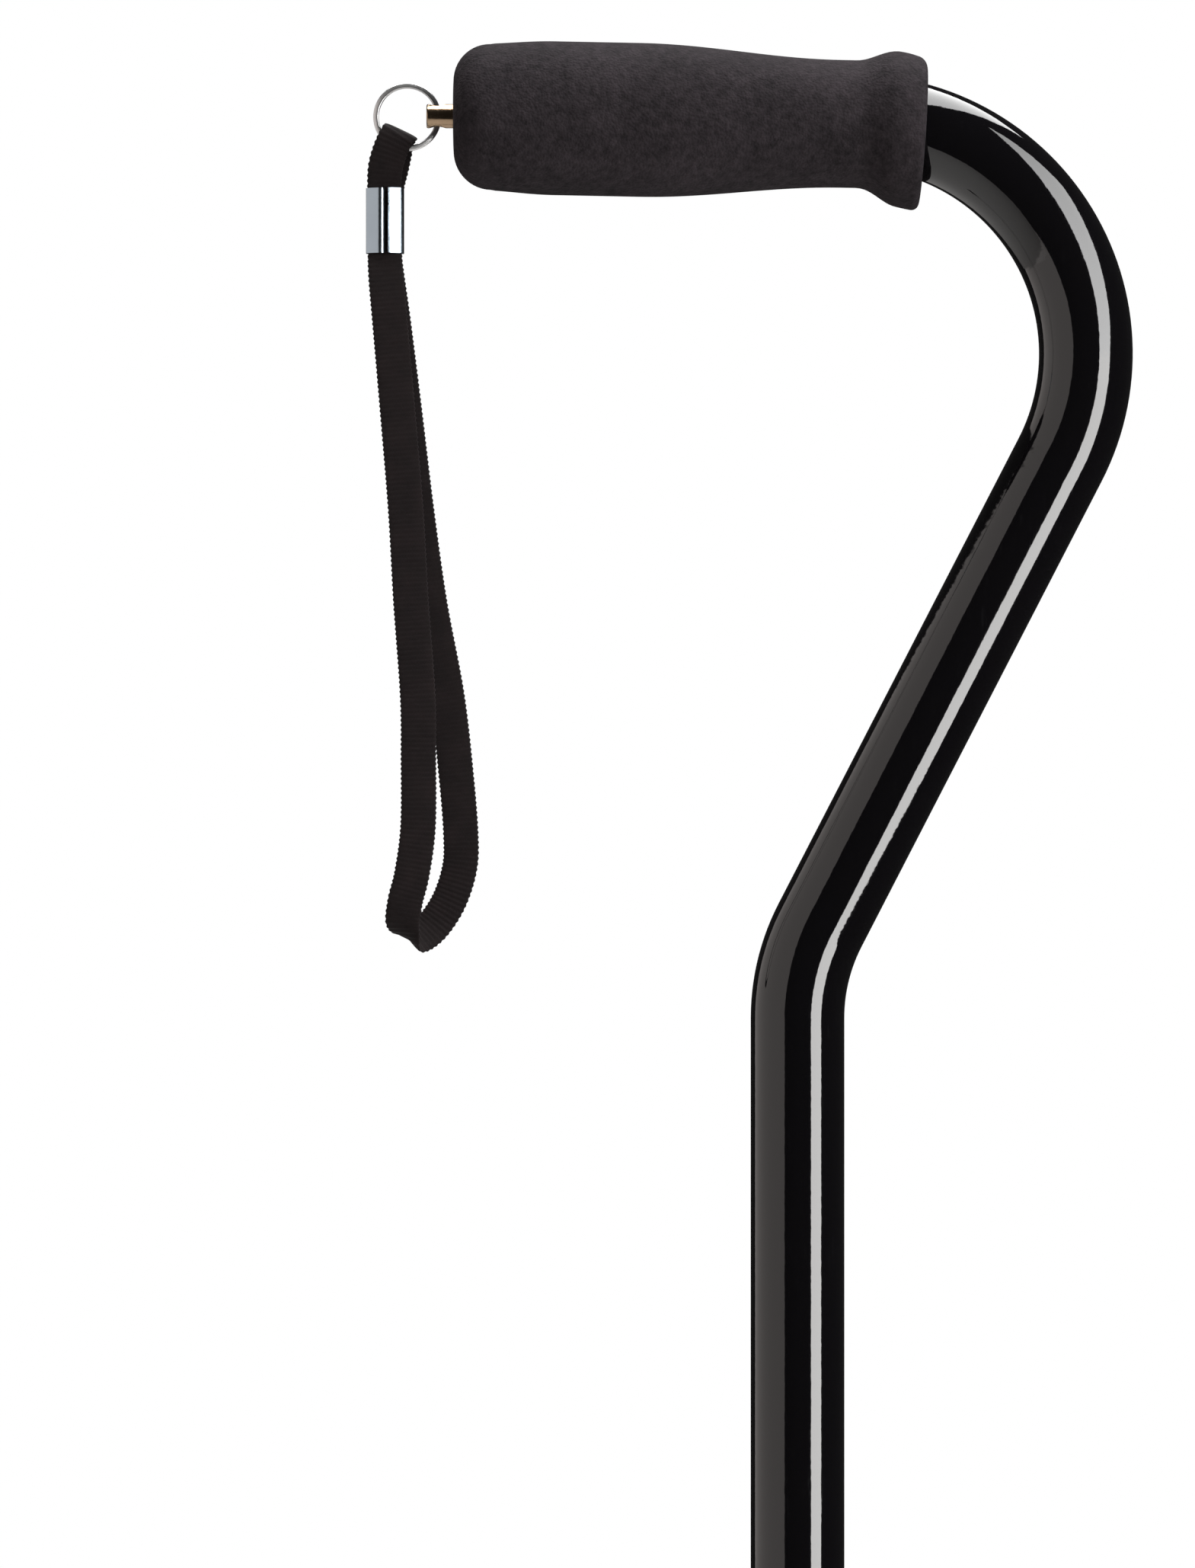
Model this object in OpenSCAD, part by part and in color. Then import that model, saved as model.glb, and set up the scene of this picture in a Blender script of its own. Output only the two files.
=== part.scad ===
// Adjustable walking cane with an offset foam-grip handle, a wrist strap and a four-legged rubber foot.
// Origin on the floor under the shaft; +Z up the shaft; the handle reaches towards -X; holes face -Y.

/* [Height] */
// Height of the handle's axis above the floor at the lowest setting
handle_z = 743; // [735:1:760]
// Height of the shaft tube's lower end at the lowest setting
shaft_low_z = 80; // [78:1:90]
// Height of the leg tube's upper end
leg_top_z = 380; // [376:1:400]
// Distance between neighbouring adjustment holes
hole_pitch = 25.4; // [20:0.1:25.4]
// Number of adjustment holes
hole_count = 10; // [4:1:10]
// Height of the lowest adjustment hole above the shaft tube's end
first_hole = 40; // [36:1:42]

/* [Tubes] */
// Outside diameter of the shaft and handle tube
shaft_d = 22.2; // [22:0.1:22.3]
// Inside diameter of the shaft and handle tube
shaft_bore = 19.3; // [19.28:0.01:19.4]
// Outside diameter of the leg tube
leg_d = 19.05; // [19:0.01:19.1]
// Inside diameter of the leg tube
leg_bore = 16.55; // [16.3:0.05:16.8]

/* [Handle] */
// Radius of the big bend behind the grip, at the tube's axis
top_bend_r = 55; // [50:1:60]
// Radius of the lower bend, at the tube's axis
low_bend_r = 48; // [40:1:60]
// Length of the straight slanted stretch between the bends
slant_length = 124; // [110:1:130]
// Lean of the slanted stretch from the vertical
lean = 27.3; // [25:0.1:29]
// Distance of the tube's handle end from the shaft's axis
handle_reach = 76; // [74:0.5:78]

/* [Grip] */
// Distance of the grip's closed end from the shaft's axis
grip_reach = 81.5; // [80:0.5:84]
// Length of the foam grip
grip_length = 112; // [108:1:113]
// Largest radius of the grip, at the palm
palm_r = 17.9; // [17:0.1:19]
// Smallest radius of the grip, before the flare
waist_r = 14.8; // [14:0.1:15.5]
// Radius of the flare at the grip's open end
flare_r = 18.1; // [17:0.1:19]

/* [Foot] */
// Angle of each leg about the shaft
leg_angles = [169, 296, 42, 105];
// Reach of each leg from the shaft's axis
leg_reach = [71, 51.5, 51.5, 51.5];
// Width of a leg
leg_w = 28; // [24:1:30]
// Height of a leg's end
toe_h = 5.5; // [5:0.5:7]
// Height of the foot's collar
collar_top = 45.5; // [42:0.5:48]
// Height at which the legs meet the collar
shoulder_z = 24.5; // [22:0.5:26]

/* [Strap] */
// Width of the webbing
strap_w = 8.3; // [8:0.1:8.4]
// Thickness of the webbing
strap_t = 1.2; // [1:0.1:1.2]
// Mean radius of the split ring
ring_r = 7.2; // [7.1:0.1:7.3]
// Radius of the ring's wire
ring_wire_r = 0.75; // [0.7:0.05:0.8]

/* [Hidden] */
$fn = 96;

shaft_r = shaft_d / 2;
leg_r = leg_d / 2;
floor_t = 8.5;                      // rubber under the leg tube
washer_t = 1.5;
leg_low_z = floor_t + washer_t;
button_z = shaft_low_z + first_hole + (hole_count - 1) * hole_pitch;

// Handle path, worked back from the shaft's axis
bend_x = slant_length * sin(lean) + low_bend_r * (1 - cos(lean)) - top_bend_r * cos(lean);
top_bend_z = handle_z - top_bend_r;
slant_x = bend_x + top_bend_r * cos(lean);
slant_z = top_bend_z - top_bend_r * sin(lean);
low_bend_z = slant_z - slant_length * cos(lean) - low_bend_r * sin(lean);

bend_draw = 0.2;                    // a bend is drawn this much slimmer than the straights
bend_lap = 0.4;                     // angle by which a bend runs into the straights

// Foot: the moulded step between sole and legs, and where the legs' slopes end
sole_h = toe_h - 0.5;
leg_inset = 0.4;
slope_end = 17.7;
slope_dip = 2;

// Lock collar stack, measured from the shaft tube's lower end
sleeve_r = 12.8;
sleeve_lip = 3;
sleeve_up = 17;
shoulder_r = 15;
bush_h = 7;
collar_r = 15;
collar_floor = 4;
collar_low_z = shaft_low_z - sleeve_lip - bush_h - collar_floor;
collar_h = collar_floor + bush_h + sleeve_lip + 13;

// Snap button and its leaf spring
button_r = 3;
button_hole_r = 3.15;
button_out = 12.9;
flange_r = 4.2;
flange_y = 6.9;
leaf_w = 7;
leaf_t = 0.6;

// Strap eye, ring and crimp
eye_r = 2.85;
eye_z = handle_z + 1.2;             // the eye is set a little above the tube's axis
eye_end_x = -87.9;
eye_hole_x = -85.3;
eye_hole_r = 1.25;
shank_r = 2.5;
ring_x = eye_hole_x - ring_r;
ring_z = eye_z - 0.2;
crimp = [9, 4.4, 15.4];
crimp_wall = 0.6;
crimp_at = [-97.75, 0, 719.4];

// Webbing route: [x, y, z, tilt of the flat side about Y]
strap_route = [
    [-97.8, -0.8, 719.5, 0], [-97.8, -0.8, 724, 0], [-97.9, -1, 728, 2], [-97.6, -1.5, 732, 8],
    [-96.6, -1.8, 735.6, 18], [-95.2, -1.8, 738.8, 25], [-94.4, -1.3, 740, 25], [-94, 0, 740.5, 25],
    [-94.4, 1.3, 740, 25], [-95, 1.8, 738.8, 25], [-95.6, 1.8, 735.6, 18], [-96.3, 1.5, 732, 8],
    [-97.2, 1, 728, 2], [-97.8, 0.8, 724, 0], [-97.8, 0.8, 718, 0], [-97.8, 0.8, 711.5, 0],
    [-97.3, 2, 706, 0], [-95.8, 3, 695, 0], [-93.3, 4, 675, 0], [-90.4, 4.5, 651, 0],
    [-87.3, 5, 629, 0], [-83.2, 5, 607, 0], [-81, 5, 588, 0], [-79.9, 5, 574, 0],
    [-80.2, 5, 566, 5], [-82.8, 4.8, 558, 20], [-87.1, 3.5, 551.7, 30], [-91.4, 0, 549.3, 36],
    [-93.4, -3.2, 552.5, 30], [-92.9, -4.6, 558, 15], [-91.2, -5, 565, 5], [-89.8, -5, 576, 0],
    [-89.7, -5, 592, 0], [-89.9, -5, 607, 0], [-91.5, -4.5, 629, 0], [-92.7, -4, 650, 0],
    [-94.5, -3.5, 672, 0], [-96.5, -2.8, 695, 0], [-97.5, -1.8, 706, 0], [-97.8, -0.8, 712, 0],
    [-97.8, -0.8, 716, 0]
];

function unit(v) = v / norm(v);
function place(p) = [p[0], p[1], p[2]];
function course(route, i) =
    unit(place(route[min(i + 1, len(route) - 1)]) - place(route[max(i - 1, 0)]));
function flat_dir(route, i) =
    let (t = course(route, i), a = route[i][3], w = [cos(a), 0, -sin(a)])
    unit(w - (w * t) * t);

// Points of an arc from a to b that bows towards the shaft, both ends left out
function bowed(a, b, half_angle = 20, steps = 10) =
    let (m = (a + b) / 2, c = b - a, r = norm(c) / 2 / sin(half_angle),
         out = unit([c[1], -c[0]]), centre = m + out * r * cos(half_angle))
    [for (i = [1 : steps - 1])
        let (s = half_angle * (2 * i / steps - 1))
        centre - out * r * cos(s) + unit(c) * r * sin(s)];

function toe(i, side) =
    let (a = leg_angles[i])
    leg_reach[i] * [cos(a), sin(a)] + side * leg_w / 2 * [-sin(a), cos(a)];

leg_order = [2, 3, 0, 1];
foot_outline = [for (k = [0 : 3])
    let (i = leg_order[k], j = leg_order[(k + 1) % 4])
    each concat([toe(i, -1), toe(i, 1)], bowed(toe(i, 1), toe(j, -1)))];

// Smooth rise from 0 at a to 1 at b
function swell(s, a, b) = (1 - cos(180 * (s - a) / (b - a))) / 2;

// Grip radius at a distance s along the grip from its closed end
function grip_radius(s) =
    let (bulge_end = 48, waist_from = 86, waist_to = 97, flare_at = 105)
    s < 8 ? palm_r - 8 + sqrt(64 - pow(8 - s, 2)) :
    s < bulge_end ? palm_r :
    s < waist_from ? palm_r - (palm_r - waist_r) * swell(s, bulge_end, waist_from) :
    s < waist_to ? waist_r :
    s < flare_at ? waist_r + (flare_r - waist_r) * swell(s, waist_to, flare_at) :
    flare_r - 1.5 * pow((s - flare_at) / (grip_length - flare_at), 2);

// One bend of a rod in the XZ plane, a little slimmer than the straights and running a little way into them
module bend(bend_r, from_angle, to_angle, r, first_lap = bend_lap) {
    rotate([90, 0, 0]) rotate([0, 0, from_angle - first_lap])
        rotate_extrude(angle = to_angle - from_angle + first_lap + bend_lap)
            translate([bend_r, 0]) circle(r = r - bend_draw);
}

// Handle and top bend as a solid rod of radius r; lap is how far the bend runs into the slant
module handle_rod(r, over = 0, lap = 0) {
    translate([-handle_reach - over, 0, handle_z])
        rotate([0, 90, 0]) cylinder(h = handle_reach + over + bend_x, r = r);
    translate([bend_x, 0, top_bend_z]) bend(top_bend_r, -lean, 90, r, lap);
}

// Slant, low bend and upright as a solid rod of radius r
module shaft_rod(r, over = 0) {
    translate([slant_x, 0, slant_z]) rotate([0, 180 + lean, 0]) cylinder(h = slant_length, r = r);
    translate([low_bend_r, 0, low_bend_z]) bend(low_bend_r, 180 - lean, 180, r);
    translate([0, 0, shaft_low_z - over]) cylinder(h = low_bend_z - shaft_low_z + over, r = r);
}

// The bore along the whole of the bent tube
module tube_bore() {
    handle_rod(shaft_bore / 2, 1, bend_lap);
    shaft_rod(shaft_bore / 2, 1);
}

module ring_solid(r_in, r_out, z0, z1) {
    translate([0, 0, z0]) difference() {
        cylinder(h = z1 - z0, r = r_out);
        translate([0, 0, -1]) cylinder(h = z1 - z0 + 2, r = r_in);
    }
}

module leg_ramp(i) {
    toe_x = leg_reach[i] - leg_inset;
    rotate([0, 0, leg_angles[i]]) translate([0, leg_w / 2 - leg_inset, 0]) rotate([90, 0, 0])
        linear_extrude(leg_w - 2 * leg_inset) polygon([
            [0, 1], [toe_x, 1], [toe_x, toe_h],
            [slope_end, shoulder_z], [0, shoulder_z - slope_dip]
        ]);
}

// Rubber foot: star sole, four sloping legs and a tall collar round the leg tube
module quad_tip() {
    color([0.16, 0.17, 0.17]) difference() {
        union() {
            linear_extrude(sole_h) polygon(foot_outline);
            for (i = [0 : 3]) leg_ramp(i);
            rotate_extrude() polygon([
                [0, 1], [29, 1], [29, toe_h + 0.3], [25, 10], [21.8, 17], [19.6, 26], [18, 33], [16.6, 37.5],
                [14.8, 43], [14, 44.8], [12.8, collar_top], [0, collar_top]
            ]);
        }
        translate([0, 0, floor_t]) cylinder(h = collar_top, r = leg_r);
        for (r = [13, 20]) ring_groove(r);
    }
}

module ring_groove(r) {
    rotate_extrude() translate([r, -1]) square([2, 2.2]);
}

module tip_washer() {
    color([0.7, 0.7, 0.72]) ring_solid(3.5, leg_r - 0.1, floor_t, leg_low_z);
}

// Round hole through the front wall of a tube, along Y
module front_hole(r, z) {
    translate([0, 0, z]) rotate([90, 0, 0]) cylinder(h = 20, r = r);
}

module lower_tube() {
    color([0.06, 0.06, 0.065]) difference() {
        ring_solid(leg_bore / 2, leg_r, leg_low_z, leg_top_z);
        front_hole(button_hole_r, button_z);
    }
}

// Nylon plug that keeps the leg tube's top from rattling in the shaft
module glide_plug() {
    color([0.85, 0.85, 0.82]) {
        ring_solid(5, leg_bore / 2, leg_top_z - 12, leg_top_z);
        ring_solid(5, leg_r + 0.03, leg_top_z, leg_top_z + 3);
    }
}

// V-shaped steel leaf that pushes the button out through both tubes
module button_spring() {
    back_y = leg_bore / 2 - 1;
    front_y = -flange_y + 1;
    color([0.75, 0.76, 0.78]) translate([-leaf_w / 2, 0, button_z])
        rotate([90, 0, 90]) linear_extrude(leaf_w) polygon([
            [front_y, 6], [front_y, -6], [-1, -34], [1, -36.5], [3.5, -34], [back_y, 6],
            [back_y - leaf_t, 6], [3, -33.4], [1, -35.4], [-0.4, -33.6], [front_y + leaf_t, -5.8],
            [front_y + leaf_t, 6]
        ]);
}

module snap_button() {
    color([0.78, 0.79, 0.8]) translate([0, 0, button_z]) rotate([90, 0, 0]) rotate_extrude() polygon([
        [0, flange_y - 1], [flange_r, flange_y - 1], [flange_r, flange_y], [button_r, flange_y],
        [button_r, button_out - 1.3], [button_r - 0.5, button_out - 0.5],
        [button_r - 1.4, button_out - 0.1], [0, button_out]
    ]);
}

// Handle end of the bent tube, down to the top of its slant
module handle_tube() {
    color([0.04, 0.04, 0.045]) difference() {
        handle_rod(shaft_r);
        tube_bore();
    }
}

// The rest of the same tube, with the height holes down its front
module shaft_tube() {
    color([0.04, 0.04, 0.045]) difference() {
        shaft_rod(shaft_r);
        tube_bore();
        for (i = [0 : hole_count - 1])
            front_hole(button_hole_r + 0.1, shaft_low_z + first_hole + i * hole_pitch);
    }
}

// Threaded sleeve crimped on the shaft tube's lower end
module thread_sleeve() {
    color([0.1, 0.1, 0.1]) difference() {
        union() {
            translate([0, 0, shaft_low_z - sleeve_lip]) cylinder(h = sleeve_lip + sleeve_up, r = sleeve_r);
            translate([0, 0, shaft_low_z + sleeve_up - 3]) cylinder(h = 3, r = shoulder_r);
        }
        translate([0, 0, shaft_low_z]) cylinder(h = sleeve_up + 1, r = shaft_r);
        translate([0, 0, shaft_low_z - sleeve_lip - 1]) cylinder(h = sleeve_lip + 2, r = leg_r + 0.12);
    }
}

// Split nylon bush that the collar squeezes on the leg tube
module clamp_bush() {
    z0 = shaft_low_z - sleeve_lip - bush_h;
    color([0.88, 0.87, 0.82]) difference() {
        ring_solid(leg_r + 0.07, 12.2, z0 + 0.1, z0 + bush_h);
        translate([-0.8, 0, z0 - 1]) cube([1.6, 20, bush_h + 2]);
    }
}

// Ribbed nut that turns on the sleeve and locks the height
module lock_collar() {
    color([0.07, 0.07, 0.07]) translate([0, 0, collar_low_z]) difference() {
        union() {
            cylinder(h = collar_h, r = collar_r);
            for (a = [0 : 15 : 345])
                rotate([0, 0, a]) translate([collar_r, 0, 4]) cylinder(h = collar_h - 8, r = 1, $fn = 24);
        }
        translate([0, 0, -1]) cylinder(h = collar_h + 2, r = leg_r + 0.3);
        translate([0, 0, collar_floor]) cylinder(h = collar_h, r = sleeve_r + 0.15);
    }
}

module foam_grip() {
    color([0.17, 0.16, 0.17]) difference() {
        translate([-grip_reach, 0, handle_z]) rotate([0, 90, 0]) rotate_extrude() polygon(concat(
            [[0, 0]],
            [for (s = [0, 0.5, 1.5, 3, 5, 8]) [grip_radius(s), s]],
            [for (s = [48 : 4 : 84]) [grip_radius(s), s]],
            [for (s = [86, 97, 99, 101, 103, 105, 109]) [grip_radius(s), s]],
            [[grip_radius(grip_length), grip_length], [0, grip_length]]
        ));
        handle_rod(shaft_r);
        translate([-handle_reach - 1.5, 0, handle_z]) rotate([0, 90, 0]) cylinder(h = 2, r = shaft_r);
        translate([-grip_reach - 1, 0, eye_z]) rotate([0, 90, 0]) cylinder(h = 10, r = eye_r + 0.05);
    }
}

// Plug in the handle end of the tube, bored for the strap eye's shank
module handle_plug() {
    color([0.1, 0.1, 0.1]) difference() {
        translate([-handle_reach - 1.5, 0, handle_z]) rotate([0, 90, 0]) {
            cylinder(h = 1.5, r = shaft_r);
            cylinder(h = 18, r = shaft_bore / 2);
        }
        translate([-handle_reach - 1.5, 0, eye_z]) rotate([0, 90, 0]) {
            translate([0, 0, -1]) cylinder(h = 20, r = shank_r);
            translate([0, 0, 13]) cylinder(h = 6, r = 5.2, $fn = 6);
        }
    }
}

module eye_nut() {
    color([0.8, 0.68, 0.4]) translate([-handle_reach + 11.5, 0, eye_z]) rotate([0, 90, 0]) difference() {
        cylinder(h = 4, r = 4.9, $fn = 6);
        translate([0, 0, -1]) cylinder(h = 6, r = shank_r);
    }
}

// Brass eye post with a vertical, countersunk hole for the ring
module strap_eye() {
    face_x = -handle_reach - 1.5;
    color([0.55, 0.45, 0.3]) difference() {
        union() {
            translate([eye_end_x, 0, eye_z]) rotate([0, 90, 0])
                cylinder(h = face_x - eye_end_x, r = eye_r);
            translate([face_x, 0, eye_z]) rotate([0, 90, 0]) cylinder(h = 18.5, r = shank_r);
        }
        translate([eye_hole_x, 0, eye_z]) {
            translate([0, 0, -5]) cylinder(h = 10, r = eye_hole_r);
            for (turn = [0, 180]) rotate([turn, 0, 0]) translate([0, 0, 1.4])
                cylinder(h = 1.6, r1 = eye_hole_r, r2 = 2.2);
        }
    }
}

module split_ring() {
    color([0.8, 0.8, 0.8]) translate([ring_x, 0, ring_z]) rotate([90, 0, 0])
        rotate_extrude() translate([ring_r, 0]) circle(r = ring_wire_r, $fn = 32);
}

module strap_crimp() {
    color([0.82, 0.83, 0.85]) translate(crimp_at) difference() {
        cube(crimp, center = true);
        cube(crimp + [-2, -2, 2] * crimp_wall, center = true);
    }
}

// Flat webbing swept along its route
module wrist_strap() {
    w = strap_w / 2;
    t = strap_t / 2;
    section = [
        [w, -t / 2], [w, t / 2], [w - t, t], [t - w, t],
        [-w, t / 2], [-w, -t / 2], [t - w, -t], [w - t, -t]
    ];
    sides = len(section);
    rings = len(strap_route);
    points = [for (i = [0 : rings - 1])
        let (u = flat_dir(strap_route, i), v = cross(course(strap_route, i), u))
        for (q = section) place(strap_route[i]) + q[0] * u + q[1] * v];
    walls = [for (i = [0 : rings - 2], k = [0 : sides - 1])
        let (a = i * sides + k, b = i * sides + (k + 1) % sides)
        each [[a, b + sides, b], [a, a + sides, b + sides]]];
    ends = [[for (k = [0 : sides - 1]) k], [for (k = [sides - 1 : -1 : 0]) (rings - 1) * sides + k]];
    color([0.13, 0.1, 0.1]) polyhedron(points, concat(walls, ends));
}

quad_tip();
tip_washer();
lower_tube();
glide_plug();
button_spring();
snap_button();
handle_tube();
shaft_tube();
thread_sleeve();
clamp_bush();
lock_collar();
foam_grip();
handle_plug();
eye_nut();
strap_eye();
split_ring();
strap_crimp();
wrist_strap();
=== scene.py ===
import math

import bmesh
import bpy
import numpy as np
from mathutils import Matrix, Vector


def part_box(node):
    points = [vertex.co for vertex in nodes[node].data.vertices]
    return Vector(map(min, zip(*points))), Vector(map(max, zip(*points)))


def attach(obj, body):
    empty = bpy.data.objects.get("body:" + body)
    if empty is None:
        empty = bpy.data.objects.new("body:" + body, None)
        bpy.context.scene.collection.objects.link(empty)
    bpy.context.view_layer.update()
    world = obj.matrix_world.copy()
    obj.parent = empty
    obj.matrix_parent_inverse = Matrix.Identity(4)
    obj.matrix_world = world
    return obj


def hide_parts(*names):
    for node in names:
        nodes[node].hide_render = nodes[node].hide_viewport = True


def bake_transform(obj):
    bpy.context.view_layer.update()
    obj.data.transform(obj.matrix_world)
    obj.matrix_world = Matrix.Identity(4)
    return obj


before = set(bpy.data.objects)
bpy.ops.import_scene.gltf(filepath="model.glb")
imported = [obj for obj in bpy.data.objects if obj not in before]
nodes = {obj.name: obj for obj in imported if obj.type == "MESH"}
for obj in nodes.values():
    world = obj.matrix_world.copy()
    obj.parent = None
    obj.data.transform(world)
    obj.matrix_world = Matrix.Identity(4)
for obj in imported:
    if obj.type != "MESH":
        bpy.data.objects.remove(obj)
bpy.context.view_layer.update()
scene = bpy.context.scene
print("frame loaded:", len(nodes), "nodes")

# ---- camera: level, square on to the handle, with a long lens ----
camera = {"lens": 150, "sensor": 36, "viewHeight": 0.3715, "aimX": -0.0474, "aimZ": 0.586}


def placeCamera():
    data = bpy.data.cameras.new("studioCamera")
    data.lens = camera["lens"]
    data.sensor_width = camera["sensor"]
    body = bpy.data.objects.new("studioCamera", data)
    distance = camera["viewHeight"] * camera["lens"] / camera["sensor"]
    body.location = (camera["aimX"], -distance, camera["aimZ"])
    body.rotation_euler = (math.pi / 2, 0, 0)
    scene.collection.objects.link(body)
    scene.camera = body


placeCamera()


# ---- small tools for node trees ----
def addNode(tree, kind, inputs=None, **settings):
    node = tree.nodes.new(kind)
    for key, value in settings.items():
        setattr(node, key, value)
    for key, value in (inputs or {}).items():
        if isinstance(value, bpy.types.NodeSocket):
            tree.links.new(value, node.inputs[key])
        else:
            node.inputs[key].default_value = value
    return node


def newGroup(name, kind, inputs, outputs):
    tree = bpy.data.node_groups.new(name, kind)
    for socketName, socketKind, value in inputs:
        socket = tree.interface.new_socket(socketName, in_out="INPUT", socket_type=socketKind)
        if value is not None:
            socket.default_value = value
    for socketName, socketKind in outputs:
        tree.interface.new_socket(socketName, in_out="OUTPUT", socket_type=socketKind)
    return tree, tree.nodes.new("NodeGroupInput"), tree.nodes.new("NodeGroupOutput")


def maths(tree, operation, first, second=0.0, third=0.0):
    return addNode(tree, "ShaderNodeMath", {0: first, 1: second, 2: third}, operation=operation).outputs[0]


def noiseAt(tree, vector, scale, detail=3.0, roughness=0.55):
    return addNode(tree, "ShaderNodeTexNoise",
                   {"Vector": vector, "Scale": scale, "Detail": detail, "Roughness": roughness}).outputs[0]


# a value stretched from one range to another
def spreadOut(tree, value, fromMin=0.0, fromMax=1.0, toMin=0.0, toMax=1.0):
    return addNode(tree, "ShaderNodeMapRange", {
        "Value": value, "From Min": fromMin, "From Max": fromMax,
        "To Min": toMin, "To Max": toMax}).outputs[0]


# fine grain: a bump of two sizes of noise, and a roughness that wanders between two values
def buildFineGrain():
    tree, inside, out = newGroup(
        "fineGrain", "ShaderNodeTree",
        [("Grain Size", "NodeSocketFloat", 0.001), ("Depth", "NodeSocketFloat", 0.1),
         ("Smooth", "NodeSocketFloat", 0.2), ("Rough", "NodeSocketFloat", 0.4)],
        [("Roughness", "NodeSocketFloat"), ("Normal", "NodeSocketVector"), ("Mask", "NodeSocketFloat")])
    place = addNode(tree, "ShaderNodeTexCoord").outputs["Object"]
    scale = maths(tree, "DIVIDE", 1.0, inside.outputs["Grain Size"])
    fine = noiseAt(tree, place, scale, 2.0)
    broad = noiseAt(tree, place, maths(tree, "MULTIPLY", scale, 0.07), 3.0)
    spread = spreadOut(tree, broad, 0.3, 0.7, inside.outputs["Smooth"], inside.outputs["Rough"])
    bump = addNode(tree, "ShaderNodeBump", {
        "Height": fine, "Strength": inside.outputs["Depth"], "Distance": inside.outputs["Grain Size"]})
    tree.links.new(spread, out.inputs["Roughness"])
    tree.links.new(bump.outputs[0], out.inputs["Normal"])
    tree.links.new(broad, out.inputs["Mask"])
    return tree


# handling marks: thin streaks along one direction and soft patches, as a mask from 0 to 1
def buildHandlingMarks():
    tree, inside, out = newGroup(
        "handlingMarks", "ShaderNodeTree",
        [("Stretch", "NodeSocketVector", (1.0, 1.0, 0.05)), ("Density", "NodeSocketFloat", 900.0),
         ("Patch Density", "NodeSocketFloat", 38.0), ("Amount", "NodeSocketFloat", 0.3)],
        [("Mask", "NodeSocketFloat")])
    place = addNode(tree, "ShaderNodeTexCoord").outputs["Object"]
    pulled = addNode(tree, "ShaderNodeVectorMath", {0: place, 1: inside.outputs["Stretch"]},
                     operation="MULTIPLY").outputs[0]
    streak = noiseAt(tree, pulled, inside.outputs["Density"], 4.0, 0.7)
    patch = noiseAt(tree, place, inside.outputs["Patch Density"], 3.0)
    both = maths(tree, "MULTIPLY", spreadOut(tree, streak, 0.6, 0.72), spreadOut(tree, patch, 0.42, 0.62))
    tree.links.new(maths(tree, "MULTIPLY", both, inside.outputs["Amount"]), out.inputs["Mask"])
    return tree


fineGrain = buildFineGrain()
handlingMarks = buildHandlingMarks()


def newMaterial(name, values):
    material = bpy.data.materials.new(name)
    material.use_nodes = True
    tree = material.node_tree
    shader = tree.nodes["Principled BSDF"]
    for key, value in values.items():
        shader.inputs[key].default_value = value
    return material, tree, shader


def useGroup(tree, group, values):
    return addNode(tree, "ShaderNodeGroup", values, node_tree=group)


def blendColours(tree, factor, low, high):
    mix = tree.nodes.new("ShaderNodeMix")
    mix.data_type = "RGBA"
    tree.links.new(factor, mix.inputs["Factor"])
    mix.inputs[6].default_value = (*low, 1)
    mix.inputs[7].default_value = (*high, 1)
    return mix.outputs[2]


# a finish of fine grain and handling marks; the two shares say how far each one shifts the colour
def newFinish(name, low, high, shader, grain, marks=None, roughGain=0.0, marksShare=0.0, grainShare=1.0):
    material, tree, principled = newMaterial(name, shader)
    base = useGroup(tree, fineGrain, grain)
    rough, shade = base.outputs["Roughness"], base.outputs["Mask"]
    if marks:
        worn = useGroup(tree, handlingMarks, marks).outputs["Mask"]
        rough = maths(tree, "MULTIPLY_ADD", worn, roughGain, rough)
        shade = maths(tree, "MULTIPLY_ADD", worn, marksShare, maths(tree, "MULTIPLY", shade, grainShare))
    tree.links.new(rough, principled.inputs["Roughness"])
    tree.links.new(base.outputs["Normal"], principled.inputs["Normal"])
    tree.links.new(blendColours(tree, shade, low, high), principled.inputs["Base Color"])
    return material


def glossPaint():
    return newFinish(
        "glossPaint", (0.0022, 0.002, 0.0025), (0.012, 0.012, 0.013),
        {"IOR": 1.5, "Coat Weight": 0.5, "Coat Roughness": 0.03},
        {"Grain Size": 0.0035, "Depth": 0.012, "Smooth": 0.035, "Rough": 0.075},
        {"Stretch": (1.0, 1.0, 0.06), "Density": 1100.0, "Amount": 0.35}, 0.25, 1.0, 0.0)


def legPaint():
    return newFinish(
        "legPaint", (0.004, 0.004, 0.0045), (0.035, 0.035, 0.037),
        {"IOR": 1.5, "Coat Weight": 0.3, "Coat Roughness": 0.06},
        {"Grain Size": 0.003, "Depth": 0.015, "Smooth": 0.06, "Rough": 0.12},
        {"Stretch": (1.0, 1.0, 0.02), "Density": 1600.0, "Amount": 0.8}, 0.3, 1.0, 0.0)


def footRubber():
    return newFinish(
        "footRubber", (0.016, 0.0185, 0.018), (0.034, 0.038, 0.037), {"Specular IOR Level": 0.42},
        {"Grain Size": 0.0006, "Depth": 0.16, "Smooth": 0.42, "Rough": 0.56},
        {"Stretch": (1.0, 0.3, 1.0), "Density": 420.0, "Amount": 0.5}, 0.2, 0.5, 0.5)


def mouldedPlastic(name, low, high, rough):
    return newFinish(name, low, high, {"Specular IOR Level": 0.5},
                     {"Grain Size": 0.0004, "Depth": 0.12, "Smooth": rough[0], "Rough": rough[1]})


def plainMetal(name, low, high, rough, stretch, grainSize=0.0008):
    return newFinish(name, low, high, {"Metallic": 1.0},
                     {"Grain Size": grainSize, "Depth": 0.03, "Smooth": rough[0], "Rough": rough[1]},
                     {"Stretch": stretch, "Density": 1500.0, "Amount": 0.6}, 0.15, 0.5, 0.6)


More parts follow.
